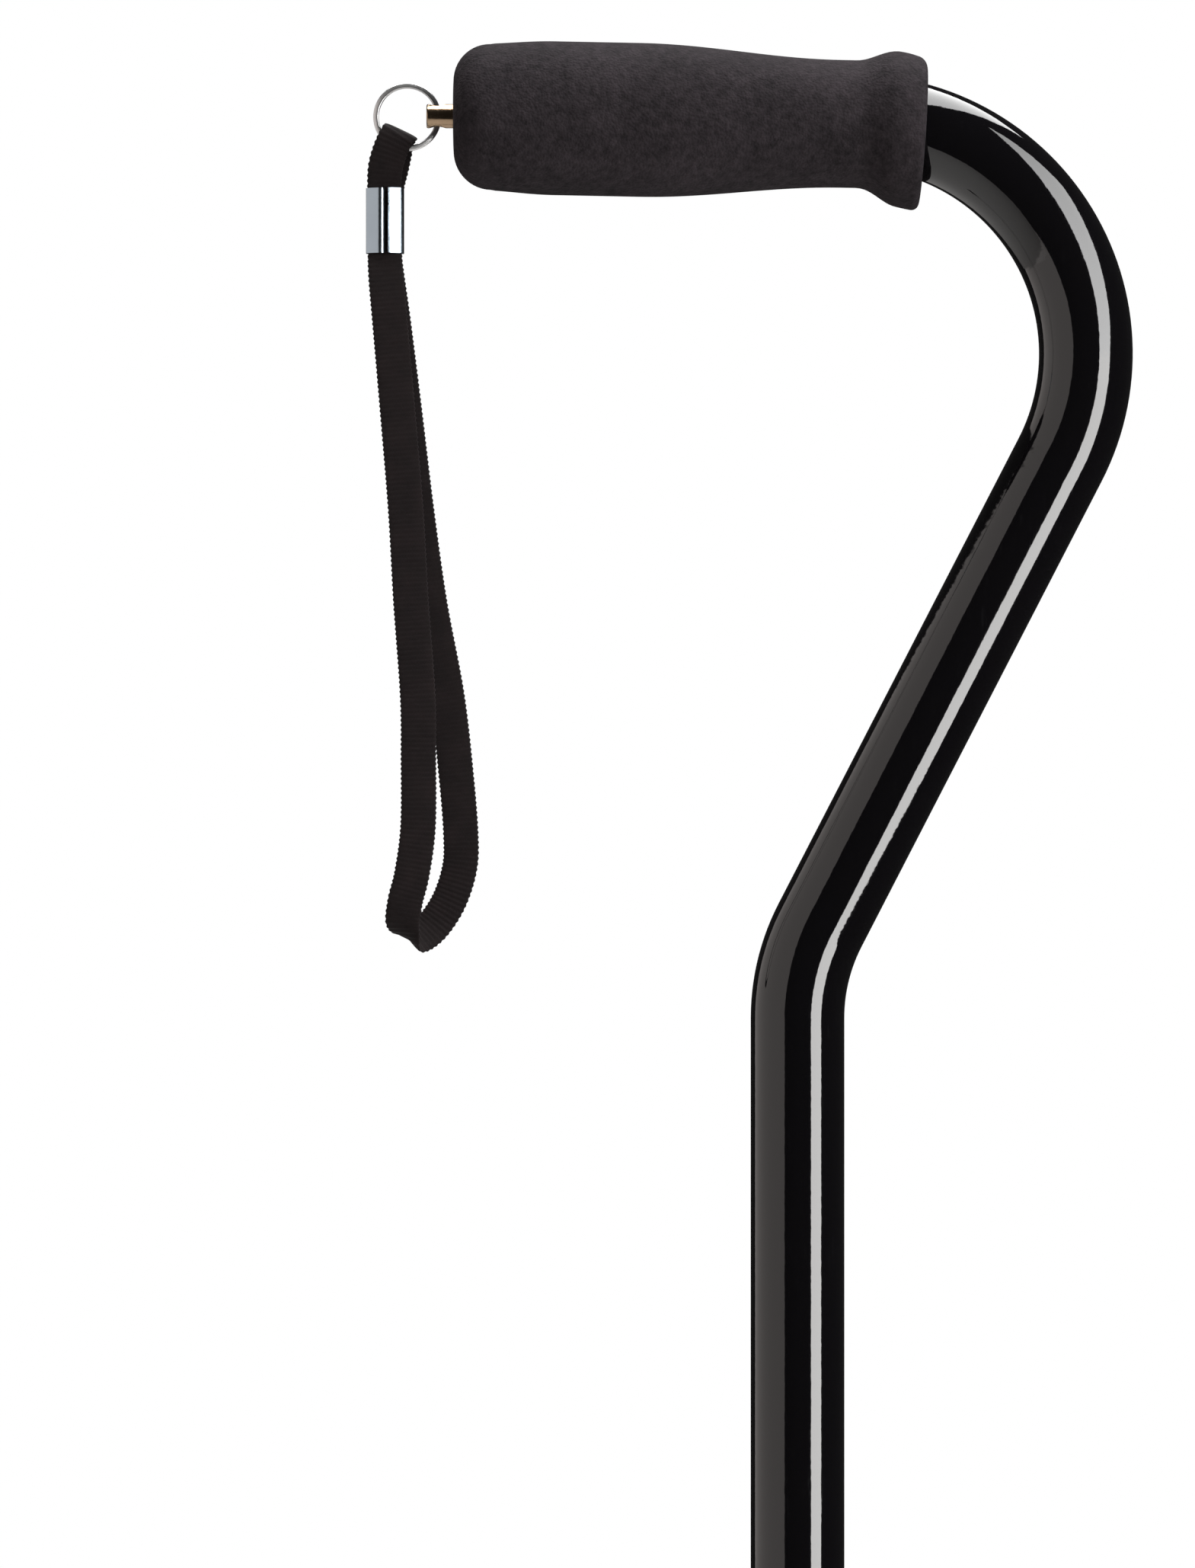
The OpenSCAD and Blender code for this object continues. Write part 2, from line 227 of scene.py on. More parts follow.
def gripFoam():
    material, tree, shader = newMaterial("gripFoam", {"Specular IOR Level": 0.08})
    place = addNode(tree, "ShaderNodeTexCoord").outputs["Object"]
    cells = addNode(tree, "ShaderNodeTexVoronoi", {"Vector": place, "Scale": 1500.0}, feature="F1")
    mottle = noiseAt(tree, place, 520.0, 4.0, 0.7)
    cloud = noiseAt(tree, place, 60.0, 3.0)
    height = maths(tree, "MULTIPLY_ADD", cells.outputs["Distance"], -0.6, mottle)
    pits = addNode(tree, "ShaderNodeBump", {"Height": height, "Strength": 0.55, "Distance": 0.0005})
    shade = maths(tree, "ADD", maths(tree, "MULTIPLY", mottle, 0.65), maths(tree, "MULTIPLY", cloud, 0.35))
    colour = blendColours(tree, spreadOut(tree, shade, 0.38, 0.64),
                          (0.0125, 0.0106, 0.0118), (0.0315, 0.0262, 0.0294))
    tree.links.new(colour, shader.inputs["Base Color"])
    tree.links.new(spreadOut(tree, mottle, toMin=0.78, toMax=0.98), shader.inputs["Roughness"])
    tree.links.new(pits.outputs[0], shader.inputs["Normal"])
    return material


# grosgrain webbing: the mesh carries the weft ribs, the map adds the warp yarns that wrap them
def strapWebbing(yarns):
    material, tree, shader = newMaterial("strapWebbing", {
        "Specular IOR Level": 0.2, "Sheen Weight": 0.05, "Sheen Roughness": 0.4})
    chart = addNode(tree, "ShaderNodeUVMap", uv_map="webbing").outputs[0]
    across, along = addNode(tree, "ShaderNodeSeparateXYZ", {0: chart}).outputs[:2]
    wave = maths(tree, "SINE", maths(tree, "MULTIPLY", across, math.tau * yarns))
    course = maths(tree, "SINE", maths(tree, "MULTIPLY", along, math.tau))
    over = maths(tree, "MULTIPLY", wave, course)
    place = addNode(tree, "ShaderNodeTexCoord").outputs["Object"]
    fuzz = noiseAt(tree, place, 2600.0, 3.0, 0.7)
    height = maths(tree, "MULTIPLY_ADD", over, 0.35, maths(tree, "MULTIPLY", fuzz, 0.9))
    bump = addNode(tree, "ShaderNodeBump", {"Height": height, "Strength": 0.6, "Distance": 0.00012})
    cloud = noiseAt(tree, place, 170.0, 3.0)
    # the colour is partly painted shade: the weave term makes raised yarns lighter and sunk ones darker, over
    # a random cloudy tone
    shade = maths(tree, "ADD", maths(tree, "MULTIPLY", cloud, 0.7), maths(tree, "MULTIPLY", over, 0.18))
    colour = blendColours(tree, spreadOut(tree, shade, 0.2, 0.6),
                          (0.004, 0.0022, 0.0023), (0.0102, 0.006, 0.0062))
    tree.links.new(colour, shader.inputs["Base Color"])
    tree.links.new(spreadOut(tree, fuzz, toMin=0.7, toMax=0.95), shader.inputs["Roughness"])
    tree.links.new(bump.outputs[0], shader.inputs["Normal"])
    return material


# ---- small tools for meshes ----
def unitRows(v):
    return v / np.linalg.norm(v, axis=1, keepdims=True)


def linkPiece(name, mesh):
    piece = bpy.data.objects.new(name, mesh)
    scene.collection.objects.link(piece)
    return piece


# a piece from points and faces, with its faces turned outwards
def meshPiece(name, points, faces, material, sharpOver, weld=0.0):
    mesh = bpy.data.meshes.new(name)
    mesh.from_pydata(points, [], faces)
    work = bmesh.new()
    work.from_mesh(mesh)
    if weld:
        bmesh.ops.remove_doubles(work, verts=work.verts, dist=weld)
    bmesh.ops.recalc_face_normals(work, faces=work.faces)
    work.to_mesh(mesh)
    work.free()
    finishMesh(mesh, material, sharpOver)
    return linkPiece(name, mesh)


# grids of points, welded where their edges meet
def joinedPatches(name, patches, material, sharpOver=38):
    points, faces, start = [], [], 0
    for patch in patches:
        rows, columns = patch.shape[:2]
        index = start + np.arange(rows * columns).reshape(rows, columns)
        quads = np.stack([index[:-1, :-1], index[1:, :-1], index[1:, 1:], index[:-1, 1:]], -1)
        points.append(patch.reshape(-1, 3))
        faces.append(quads.reshape(-1, 4))
        start += rows * columns
    points, faces = np.concatenate(points).tolist(), np.concatenate(faces).tolist()
    return meshPiece(name, points, faces, material, sharpOver, weld=2e-6)


def finishMesh(mesh, material, sharpOver):
    mesh.polygons.foreach_set("use_smooth", [True] * len(mesh.polygons))
    mesh.set_sharp_from_angle(angle=math.radians(sharpOver))
    mesh.materials.clear()
    mesh.materials.append(material)
    mesh.update()


# an outline with its corners eased
def eased(outline, radius, steps=4, closed=False):
    points = [np.array(p, float) for p in outline]
    if closed:
        points = [points[-1], *points, points[0]]
    made = [] if closed else [points[0]]
    for before, corner, after in zip(points, points[1:], points[2:]):
        back, on = before - corner, after - corner
        cut = min(radius, 0.45 * np.linalg.norm(back), 0.45 * np.linalg.norm(on))
        start = corner + back / np.linalg.norm(back) * cut
        end = corner + on / np.linalg.norm(on) * cut
        for t in np.linspace(0, 1, steps + 1):
            made.append((1 - t) ** 2 * start + 2 * t * (1 - t) * corner + t * t * end)
    if closed:
        return np.array([*made, made[0]])
    return np.array([*made, points[-1]])


# a profile of (radius, height) turned about an axis through a centre
def turned(profile, centre=(0, 0, 0), axis="z", segments=96):
    radius, height = np.array(profile, float).T
    turn = np.linspace(0, math.tau, segments + 1)
    a, b = np.outer(radius, np.cos(turn)), np.outer(radius, np.sin(turn))
    h = np.repeat(height[:, None], segments + 1, 1)
    parts = {"x": (h, a, b), "y": (b, h, a), "z": (a, b, h)}[axis]
    return np.stack(parts, -1) + np.array(centre)


# more points on a line, an even step apart or closer
def densified(corners, step):
    line = [corners[:1]]
    for a, b in zip(corners, corners[1:]):
        count = max(1, int(np.linalg.norm(b - a) / step))
        line.append(a + (b - a) * np.linspace(0, 1, count + 1)[1:, None])
    return np.vstack(line)


# a metal strip: a line in a plane, thickened to its left and drawn out between levels on the third axis
def bentStrip(name, line, wall, levels, order, material):
    course = unitRows(np.gradient(line, axis=0))
    other = line + wall * np.stack([-course[:, 1], course[:, 0]], 1)

    def level(side, height):
        return np.column_stack([side, np.full(len(side), height)])[:, order]

    patches = [np.stack([level(side, height) for height in levels]) for side in (line, other)]
    patches += [np.stack([level(line, height), level(other, height)]) for height in (levels[0], levels[-1])]
    for end in (0, -1):
        patches.append(np.stack([[level(side, height)[end] for height in levels] for side in (line, other)]))
    return joinedPatches(name, patches, material, 35)


# one body to move with; with two bodies and the points between them, the piece is only baked in place and
# joins neither body
def ready(piece, body, slotName, *replaced):
    if isinstance(body, str):
        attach(piece, body)
    else:
        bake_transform(piece)
    if replaced:
        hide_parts(*replaced)
    return piece


# ---- wrist strap ----
strap = {"width": 0.0083, "thickness": 0.0012, "ribPitch": 0.00115, "ribDepth": 0.16, "scallop": 0.03,
         "samplesPerRib": 4, "sectionPoints": 26, "gathered": 0.08, "gatherReach": 0.009, "yarns": 22,
         "edgeSquare": 0.6, "faceSquare": 0.55, "pointsPerKnot": 24}
strapRoute = [
    (-0.0978, -0.0008, 0.7195, 0), (-0.0978, -0.0008, 0.724, 0), (-0.0979, -0.001, 0.728, 2),
    (-0.0976, -0.0015, 0.732, 8), (-0.0966, -0.0018, 0.7356, 18), (-0.0952, -0.0018, 0.7388, 25),
    (-0.0944, -0.0013, 0.74, 25), (-0.094, 0, 0.7405, 25), (-0.0944, 0.0013, 0.74, 25),
    (-0.095, 0.0018, 0.7388, 25), (-0.0956, 0.0018, 0.7356, 18), (-0.0963, 0.0015, 0.732, 8),
    (-0.0972, 0.001, 0.728, 2), (-0.0978, 0.0008, 0.724, 0), (-0.0978, 0.0008, 0.718, 0),
    (-0.0978, 0.0008, 0.7115, 0), (-0.0973, 0.002, 0.706, 0), (-0.0958, 0.003, 0.695, 0),
    (-0.0933, 0.004, 0.675, 0), (-0.0904, 0.0045, 0.651, 0), (-0.0873, 0.005, 0.629, 0),
    (-0.0832, 0.005, 0.607, 0), (-0.081, 0.005, 0.588, 0), (-0.0799, 0.005, 0.574, 0),
    (-0.0802, 0.005, 0.566, 5), (-0.0828, 0.0048, 0.558, 20), (-0.0871, 0.0035, 0.5517, 30),
    (-0.0914, 0, 0.5493, 36), (-0.0934, -0.0032, 0.5525, 30), (-0.0929, -0.0046, 0.558, 15),
    (-0.0912, -0.005, 0.565, 5), (-0.0898, -0.005, 0.576, 0), (-0.0897, -0.005, 0.592, 0),
    (-0.0899, -0.005, 0.607, 0), (-0.0915, -0.0045, 0.629, 0), (-0.0927, -0.004, 0.65, 0),
    (-0.0945, -0.0035, 0.672, 0), (-0.0965, -0.0028, 0.695, 0), (-0.0975, -0.0018, 0.706, 0),
    (-0.0978, -0.0008, 0.712, 0), (-0.0978, -0.0008, 0.716, 0)]


# a smooth line through the route's points, then points an even step apart
def smoothRoute(route, step):
    knots = np.array(route, float)
    padded = np.vstack([2 * knots[0] - knots[1], knots, 2 * knots[-1] - knots[-2]])
    t = np.linspace(0, 1, strap["pointsPerKnot"], endpoint=False)[:, None]
    dense = []
    for p0, p1, p2, p3 in zip(padded, padded[1:], padded[2:], padded[3:]):
        dense.append(0.5 * (2 * p1 + (p2 - p0) * t + (2 * p0 - 5 * p1 + 4 * p2 - p3) * t ** 2
                            + (3 * p1 - p0 - 3 * p2 + p3) * t ** 3))
    dense = np.vstack([*dense, knots[-1:]])
    along = np.r_[0, np.cumsum(np.linalg.norm(np.diff(dense[:, :3], axis=0), axis=1))]
    at = np.linspace(0, along[-1], int(along[-1] / step) + 1)
    return np.stack([np.interp(at, along, dense[:, k]) for k in range(4)], 1), at


def makeStrap(material):
    line, at = smoothRoute(strapRoute, strap["ribPitch"] / strap["samplesPerRib"])
    course = unitRows(np.gradient(line[:, :3], axis=0))
    tilt = np.radians(line[:, 3])
    flat = np.stack([np.cos(tilt), 0 * tilt, -np.sin(tilt)], 1)
    flat = unitRows(flat - (flat * course).sum(1)[:, None] * course)
    proud = np.cross(course, flat)
    turn = np.linspace(0, math.tau, strap["sectionPoints"] + 1)
    across = np.sign(np.cos(turn)) * np.abs(np.cos(turn)) ** strap["edgeSquare"]
    up = np.sign(np.sin(turn)) * np.abs(np.sin(turn)) ** strap["faceSquare"]
    phase = np.cos(math.tau * at / strap["ribPitch"])
    fromCrimp = (line[:, 2] - strapRoute[0][2]) / strap["gatherReach"]
    half = strap["width"] / 2 * (1 + strap["scallop"] * phase - strap["gathered"] * np.exp(-fromCrimp ** 2))
    thick = strap["thickness"] / 2 * (1 - strap["ribDepth"] + strap["ribDepth"] * phase)
    grid = (line[:, None, :3] + (half[:, None] * across)[..., None] * flat[:, None]
            + (thick[:, None] * up)[..., None] * proud[:, None])
    rings, sides = grid.shape[0], len(turn) - 1
    index = np.arange(rings * sides).reshape(rings, sides)
    wrap = np.roll(index, -1, 1)
    quads = np.stack([index[:-1], index[1:], wrap[1:], wrap[:-1]], -1).reshape(-1, 4).tolist()
    caps = [index[0].tolist(), index[-1][::-1].tolist()]
    piece = meshPiece("wristStrap", grid[:, :sides].reshape(-1, 3).tolist(), [*quads, *caps], material, 60)
    # the map's x runs across the webbing and its y counts ribs
    mesh = piece.data
    chart = mesh.uv_layers.new(name="webbing")
    corner = np.zeros(len(mesh.loops), int)
    mesh.loops.foreach_get("vertex_index", corner)
    ring, side = corner // sides, corner % sides
    chart.data.foreach_set("uv", np.stack([across[side] / 2, at[ring] / strap["ribPitch"]], 1).ravel())
    return piece, line[:, :3], float(at[-1])


strapPiece, strapLine, strapLength = makeStrap(strapWebbing(strap["yarns"]))
ready(strapPiece, ("ring", "strap", strapRoute[7][:3], strapRoute[3][:3]), "strap_webbing", "wrist_strap")
print("strap made:", round(strapLength, 4), "m of webbing")


# ---- shaft and handle tube ----
shaft = {"radius": 0.0111, "bore": 0.00965, "lean": 27.3, "topBend": 0.055, "lowBend": 0.048, "slant": 0.124,
         "holeRadius": 0.00325, "holePitch": 0.0254, "holes": 10, "firstHole": 0.040, "holeSteps": 12,
         "edge": 0.0003, "segments": 144, "bendStep": 2.0}
handleLow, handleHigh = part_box("handle_tube")
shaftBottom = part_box("shaft_tube")[0].z
handleHeight = handleHigh.z - shaft["radius"]
lean = math.radians(shaft["lean"])
bendX = (shaft["slant"] * math.sin(lean) + shaft["lowBend"] * (1 - math.cos(lean))
         - shaft["topBend"] * math.cos(lean))
topArc = shaft["topBend"] * (math.pi / 2 + lean)
lowArc = shaft["lowBend"] * lean
lowBendZ = (handleHeight - shaft["topBend"] * (1 + math.sin(lean)) - shaft["slant"] * math.cos(lean)
            - shaft["lowBend"] * math.sin(lean))
handleRuns = [(bendX - handleLow.x, 0), (topArc, -(math.pi / 2 + lean)), (shaft["slant"], 0), (lowArc, lean),
              (lowBendZ - shaftBottom, 0)]


# place and heading on the tube's centreline, at a distance from the handle end
def handleLine(s):
    s = np.asarray(s, float)
    x, z, heading = np.full(s.shape, handleLow.x), np.full(s.shape, handleHeight), np.zeros(s.shape)
    angle, start = 0.0, 0.0
    for number, (length, turn) in enumerate(handleRuns):
        ds = s - start
        if number > 0:
            ds = np.maximum(ds, 0)
        if number < len(handleRuns) - 1:
            ds = np.minimum(ds, length)
        if turn:
            swing = turn * ds / length
            x = x + length / turn * (np.sin(angle + swing) - math.sin(angle))
            z = z - length / turn * (np.cos(angle + swing) - math.cos(angle))
            heading = heading + swing
        else:
            x, z = x + ds * math.cos(angle), z + ds * math.sin(angle)
        angle, start = angle + turn, start + length
    return x, z, heading


# rings of points round the centreline; angle 0 faces the front and a quarter turn faces outwards
def ringsOnLine(s, radius, angles):
    x, z, heading = handleLine(s)
    radius = np.broadcast_to(np.asarray(radius, float), np.shape(s))
    front, side = np.outer(radius, np.cos(angles)), np.outer(radius, np.sin(angles))
    return np.stack([x[:, None] - np.sin(heading)[:, None] * side, -front,
                     z[:, None] + np.cos(heading)[:, None] * side], -1)


# a tube with round holes down its front: cells round the holes, plain rings elsewhere
def drilledTube(name, material, sizes, outer, low, above, holeHeights, pitch, farEnd):
    bore, edge, holeRadius, segments = (sizes[key] for key in ("bore", "edge", "holeRadius", "segments"))
    quarter = segments // 8
    unit = math.tau / segments
    frontAngles = np.arange(-quarter, quarter + 1) * unit
    backAngles = np.arange(quarter, segments - quarter + 1) * unit
    allAngles = np.arange(-quarter, segments - quarter + 1) * unit
    steps = sizes["holeSteps"]
    holeLow, holeHigh = holeHeights[0] - pitch / 2, holeHeights[-1] + pitch / 2

    def band(radius, angles, heights):
        grid = np.zeros((len(heights), len(angles), 3))
        grid[..., 0], grid[..., 1] = radius * np.sin(angles), -radius * np.cos(angles)
        grid[..., 2] = np.array(heights)[:, None]
        return grid

    levels = [np.linspace(h - pitch / 2, h + pitch / 2, steps + 1)[:-1] for h in holeHeights]
    levels = np.concatenate([*levels, [holeHigh]])
    patches = []
    for radius in (outer, bore):
        patches.append(band(radius, allAngles, [low + edge, holeLow]))
        patches.append(band(radius, backAngles, levels))
        patches.append(above(radius, allAngles))
    for height in holeHeights:
        rise = np.linspace(-pitch / 2, pitch / 2, steps + 1)
        side = quarter * unit
        border = np.concatenate([
            np.stack([np.full(steps, side), rise[:-1]], 1),
            np.stack([frontAngles[::-1][:-1], np.full(2 * quarter, pitch / 2)], 1),
            np.stack([np.full(steps, -side), rise[::-1][:-1]], 1),
            np.stack([frontAngles[:-1], np.full(2 * quarter, -pitch / 2)], 1)])
        border = np.vstack([border, border[:1]])
        around = np.arctan2(border[:, 1], border[:, 0] * outer)

        def onWall(radius, holeR, share):
            angle = np.arcsin(holeR * np.cos(around) / radius) * (1 - share) + border[:, 0] * share
            rise = holeR * np.sin(around) * (1 - share) + border[:, 1] * share
            return np.stack([radius * np.sin(angle), -radius * np.cos(angle), height + rise], 1)

        def inWall(holeR, depthRadius):
            x = holeR * np.cos(around)
            return np.stack([x, -np.sqrt(depthRadius ** 2 - x ** 2), height + holeR * np.sin(around)], 1)

        shares = [0, 0.08, 0.2, 0.4, 0.65, 1]  # from the hole's rim out to its cell's border
        patches.append(np.stack([onWall(outer, holeRadius + edge, share) for share in shares]))
        patches.append(np.stack([onWall(bore, holeRadius, share) for share in shares]))
        patches.append(np.stack([
            inWall(holeRadius + edge, outer), inWall(holeRadius + edge * 0.3, outer - edge * 0.3),
            inWall(holeRadius, outer - edge), inWall(holeRadius, bore)]))
    # rounded lip at the lower end, then at the far end
    lip = [(outer, edge), (outer - edge * 0.3, edge * 0.3), (outer - edge, 0), (bore + edge, 0), (bore, edge)]
    patches.append(np.concatenate([band(radius, allAngles, [low + up]) for radius, up in lip]))
    patches.append(np.concatenate([farEnd(up, radius, allAngles) for radius, up in lip]))
    piece = joinedPatches(name, patches, material)
    # true normals on the drilled wall, so that reflections run straight past the holes
    place = np.array([vertex.co for vertex in piece.data.vertices])
    radial = place * (1, 1, 0)
    near = 5e-6
    drilled = (np.abs(np.linalg.norm(radial, axis=1) - outer) < near) & (place[:, 2] < holeHigh + near)
    piece.data.normals_split_custom_set_from_vertices(np.where(drilled[:, None], radial / outer, 0))
    return piece


def makeShaft(material):
    holes = shaftBottom + shaft["firstHole"] + shaft["holePitch"] * np.arange(shaft["holes"])
    lengths = [run[0] for run in handleRuns]
    total = sum(lengths)
    ends = np.cumsum([0, *lengths])
    stations = [[shaft["edge"]]]
    for number, (length, turn) in enumerate(handleRuns[:-1]):
        count = max(2, int(abs(math.degrees(turn)) / shaft["bendStep"]))
        stations.append(np.linspace(ends[number], ends[number + 1], count + 1)[1:])
    topHole = total - (holes[-1] + shaft["holePitch"] / 2 - shaftBottom)
    s = np.concatenate([*stations, [topHole]])[::-1]

    def above(radius, angles):
        return ringsOnLine(s, radius, angles)

    def handleEnd(inward, radius, angles):
        return ringsOnLine(np.array([inward]), radius, angles)

    return drilledTube("shaftTube", material, shaft, shaft["radius"], shaftBottom, above, list(holes),
                       shaft["holePitch"], handleEnd)


ready(makeShaft(glossPaint()), "shaft", "shaft_black", "handle_tube", "shaft_tube")
print("shaft tube made")

# ---- leg tube ----
legTube = {"bore": 0.008275, "holeRadius": 0.00315, "cell": 0.02, "holeSteps": 12, "edge": 0.0004,
           "segments": 96}


def makeLegTube(material):
    low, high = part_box("lower_tube")
    buttonLow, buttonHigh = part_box("snap_button")
    hole = (buttonLow.z + buttonHigh.z) / 2

    def level(height, radius, angles):
        return np.stack([radius * np.sin(angles), -radius * np.cos(angles), 0 * angles + height], -1)

    def above(radius, angles):
        heights = (hole + legTube["cell"] / 2, high.z - legTube["edge"])
        return np.stack([level(height, radius, angles) for height in heights])

    def topEnd(inward, radius, angles):
        return level(high.z - inward, radius, angles)[None]

    return drilledTube("legTube", material, legTube, high.x, low.z, above, [hole], legTube["cell"], topEnd)


ready(makeLegTube(legPaint()), "foot", "leg_black", "lower_tube")
print("leg tube made")

# ---- foam grip: outside it keeps straighter than the tube that bends away inside it ----
grip = {"length": 0.1112, "endRadius": 0.0172, "palm": 0.01815, "waist": 0.01507, "flare": 0.0183,
        "endRound": 0.0088, "rimRound": 0.0022, "palmAt": 0.024, "bulgeEnd": 0.044, "waistFrom": 0.092,
        "waistTo": 0.0955, "flareAt": 0.1055, "rimDrop": 0.0007, "rimDropAfter": 0.001, "startLift": 0.0012,
        "slope": 0.0195, "rimTilt": 3.5, "postGap": 0.00295, "lip": 0.0007, "lipDepth": 0.0005, "fit": 0.0001,
        "wallEnd": 0.004, "cornerPoints": 14, "bodyPoints": 96, "insidePoints": 24, "segments": 128}


def swell(s, start, end, low, high):
    return low + (high - low) * (1 - np.cos(np.pi * np.clip((s - start) / (end - start), 0, 1))) / 2


def gripRadius(s):
    palm = swell(s, grip["endRound"] / 2, grip["palmAt"], grip["endRadius"] - grip["palm"], 0)
    taper = swell(s, grip["bulgeEnd"], grip["waistFrom"], grip["palm"], grip["waist"])
    flare = swell(s, grip["waistTo"], grip["flareAt"], 0, grip["flare"] - grip["waist"])
    beyond = (s - grip["flareAt"] - grip["rimDropAfter"]) / (grip["length"] - grip["flareAt"])
    return palm + taper + flare - grip["rimDrop"] * np.clip(beyond, 0, 1) ** 2


# rings square to the grip's own axis, which slopes a little and leans over at the rim
def gripRings(s, radius, startX, angles):
    drop = np.maximum(startX + s - bendX, 0) ** 2 / 2 / shaft["topBend"]
    height = handleHeight + grip["startLift"] - grip["slope"] * s - drop
    tilt = np.radians(swell(s, grip["waistTo"], grip["length"], 0, grip["rimTilt"]))[:, None]
    side = np.outer(radius, np.sin(angles))
    return np.stack([(startX + s)[:, None] + np.sin(tilt) * side, -np.outer(radius, np.cos(angles)),
                     height[:, None] + np.cos(tilt) * side], -1)


def makeGrip(material):
    low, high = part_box("foam_grip")
    r, rim, length = grip["endRound"], grip["rimRound"], grip["length"]
    corner = np.linspace(0, math.pi / 2, grip["cornerPoints"])
    outer = [(0, grip["postGap"]), (0, grip["endRadius"] - r)]
    outer += [(r - r * math.cos(a), grip["endRadius"] - r + r * math.sin(a)) for a in corner[1:]]
    body = np.linspace(r, length - rim, grip["bodyPoints"])[1:]
    outer += list(zip(body, gripRadius(body)))
    rimTop = gripRadius(np.array([length - rim]))[0]
    outer += [(length - rim + rim * math.sin(a), rimTop - rim + rim * math.cos(a)) for a in corner[1:]]
    outer += [(length, shaft["radius"] + grip["lip"]),
              (length - grip["lipDepth"], shaft["radius"] + grip["fit"])]
    s, radius = np.array(outer).T
    angles = np.linspace(0, math.tau, grip["segments"] + 1)
    outside = gripRings(s, radius, low.x, angles)
    along = np.linspace(length - grip["wallEnd"], grip["wallEnd"], grip["insidePoints"])
    along = along - (handleLow.x - low.x)
    inside = ringsOnLine(along, shaft["radius"], angles)
    mouth = gripRings(np.array([grip["wallEnd"], 0]), np.full(2, grip["postGap"]), low.x, angles)
    return joinedPatches("foamGrip", [np.concatenate([outside, inside, mouth])], material, 50)


gripPiece = ready(makeGrip(gripFoam()), "shaft", "grip_foam", "foam_grip")
print("grip made")

# ---- strap eye: a post with a countersunk cross hole ----
eye = {"radius": 0.00285, "shank": 0.0025, "holeInset": 0.0026, "holeRadius": 0.00125, "sink": 0.00095,
       "sinkSlope": 1.5, "edge": 0.0004, "cutPast": 0.0002}


def makeEye(material):
    low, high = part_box("strap_eye")
    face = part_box("handle_plug")[0].x
    height = (low.z + high.z) / 2
    profile = eased([(0, low.x), (eye["radius"], low.x), (eye["radius"], face), (eye["shank"], face),
                     (eye["shank"], high.x), (0, high.x)], eye["edge"], 4)
    post = joinedPatches("strapEye", [turned(profile, (0, 0, height), "x", 72)], material)
    r, sink = eye["holeRadius"], eye["sink"]
    reach = eye["radius"] + eye["cutPast"]
    sinkEnd = reach - sink * eye["sinkSlope"]
    bore = [(0, -reach), (r + sink, -reach), (r, -sinkEnd), (r, sinkEnd), (r + sink, reach), (0, reach)]
    place = (low.x + eye["holeInset"], 0, height)
    cutter = joinedPatches("eyeCutter", [turned(bore, place, "z", 48)], material)
    cut = post.modifiers.new("crossHole", "BOOLEAN")
    cut.object = cutter
    cut.solver = "EXACT"
    mesh = bpy.data.meshes.new_from_object(post.evaluated_get(bpy.context.evaluated_depsgraph_get()))
    post.modifiers.remove(cut)
    post.data = mesh
    finishMesh(mesh, material, 30)
    bpy.data.objects.remove(cutter)
    return post


brass = plainMetal("darkBrass", (0.3, 0.2, 0.13), (0.6, 0.46, 0.3), (0.14, 0.24), (1.0, 0.1, 0.1))
ready(makeEye(brass), "shaft", "brass_dark", "strap_eye")
print("strap eye made")


# ---- geometry node pieces ----
# the tree's inputs are found by name and set by identifier
def runTree(name, tree, values, material, sharpOver=38):
    host = linkPiece(name, bpy.data.meshes.new(name))
    modifier = host.modifiers.new(name, "NODES")
    modifier.node_group = tree
    for socket in tree.interface.items_tree:
        if socket.name in values:
            modifier[socket.identifier] = values[socket.name]
    made = bpy.data.meshes.new_from_object(host.evaluated_get(bpy.context.evaluated_depsgraph_get()))
    host.modifiers.remove(modifier)
    host.data = made
    finishMesh(made, material, sharpOver)
    return host


def openTree(name, inputs):
    return newGroup(name, "GeometryNodeTree", inputs, [("Geometry", "NodeSocketGeometry")])


def closeTree(tree, out, made, material):
    real = addNode(tree, "GeometryNodeRealizeInstances", {0: made.outputs[0]})
    final = addNode(tree, "GeometryNodeSetMaterial", {"Geometry": real.outputs[0], "Material": material})
    tree.links.new(final.outputs[0], out.inputs[0])
    return tree


# ---- split ring: flat wire wound twice ----
ringSizes = {"meanRadius": 0.0074, "wireHigh": 0.0013, "wireThick": 0.0007, "turns": 2.0, "corner": 0.0003}


def splitRingTree(material):
    inputs = [(key, "NodeSocketFloat", value) for key, value in ringSizes.items()]
    inputs.append(("centre", "NodeSocketVector", (0, 0, 0)))
    tree, inside, out = openTree("splitRing", inputs)
    rise = maths(tree, "MULTIPLY", inside.outputs["wireThick"], inside.outputs["turns"])
    coil = addNode(tree, "GeometryNodeCurveSpiral", {
        "Resolution": 96, "Rotations": inside.outputs["turns"], "Start Radius": inside.outputs["meanRadius"],
        "End Radius": inside.outputs["meanRadius"], "Height": rise})
    centred = addNode(tree, "GeometryNodeTransform", {
        "Geometry": coil.outputs[0],
        "Translation": addNode(tree, "ShaderNodeCombineXYZ",
                               {"Z": maths(tree, "MULTIPLY", rise, -0.5)}).outputs[0]})
    upright = addNode(tree, "GeometryNodeTransform", {
        "Geometry": centred.outputs[0], "Rotation": (math.pi / 2, 0, 0),
        "Translation": inside.outputs["centre"]})
    wire = addNode(tree, "GeometryNodeCurvePrimitiveQuadrilateral",
                   {"Width": inside.outputs["wireThick"], "Height": inside.outputs["wireHigh"]})
    rounded = addNode(tree, "GeometryNodeFilletCurve",
                      {0: wire.outputs[0], "Radius": inside.outputs["corner"]}, mode="POLY")
    rounded.inputs["Count"].default_value = 4
    solid = addNode(tree, "GeometryNodeCurveToMesh",
                    {"Curve": upright.outputs[0], "Profile Curve": rounded.outputs[0], "Fill Caps": True})
    return closeTree(tree, out, solid, material)


